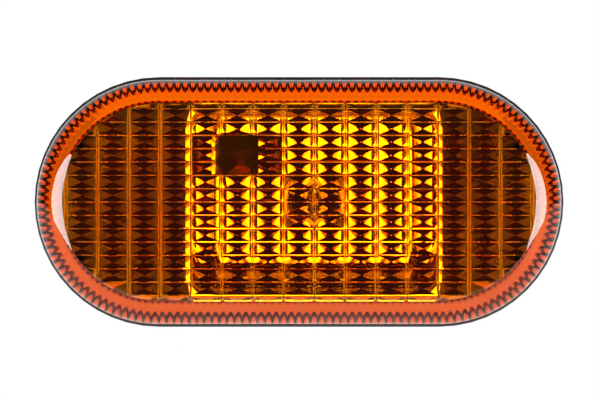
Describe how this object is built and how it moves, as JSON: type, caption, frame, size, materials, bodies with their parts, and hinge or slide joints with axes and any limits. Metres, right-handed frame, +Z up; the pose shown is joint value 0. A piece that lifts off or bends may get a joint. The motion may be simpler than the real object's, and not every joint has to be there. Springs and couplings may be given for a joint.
{
  "type": "vehicle side indicator lamp",
  "caption": "Oval side indicator lamp: amber prism lens on a black snap-in housing, with a reflector, foam gasket and quarter-turn bulb holder.",
  "frame": {"origin": "centre of the foam gasket's back face, where the lamp meets the body panel", "axes": "+X along the lamp's length, to the right seen from the lens's side; +Y out of the back, through the panel; +Z up"},
  "size_m": [0.108, 0.0498, 0.051],
  "materials": {
    "lens": "clear amber acrylic, polished outside, prisms inside",
    "housing": "black, finely textured",
    "reflector": "vacuum-metallised plastic",
    "gasket_foam": "black closed-cell foam",
    "holder": "light grey moulded nylon",
    "seal": "smooth rubber",
    "terminals": "tinned brass strip",
    "bulb": "clear glass",
    "bulb_metal": "bright drawn wire"
  },
  "bodies": {
    "lamp": {"lens": "lens", "housing": "housing", "reflector": "reflector", "panel_gasket": "gasket_foam"},
    "bulb_holder": {"bulb_holder": "holder", "holder_seal": "seal", "terminal_left": "terminals", "terminal_right": "terminals", "bulb_glass": "bulb", "filament": "bulb_metal", "lead_wire_left": "bulb_metal", "lead_wire_right": "bulb_metal"}
  },
  "joints": [
    {"name": "holder_turn", "type": "hinge", "parent": "lamp", "child": "bulb_holder", "pos_m": [0.003, 0, 0], "axis": [0, 1, 0], "range_deg": [0, 45]}
  ]
}
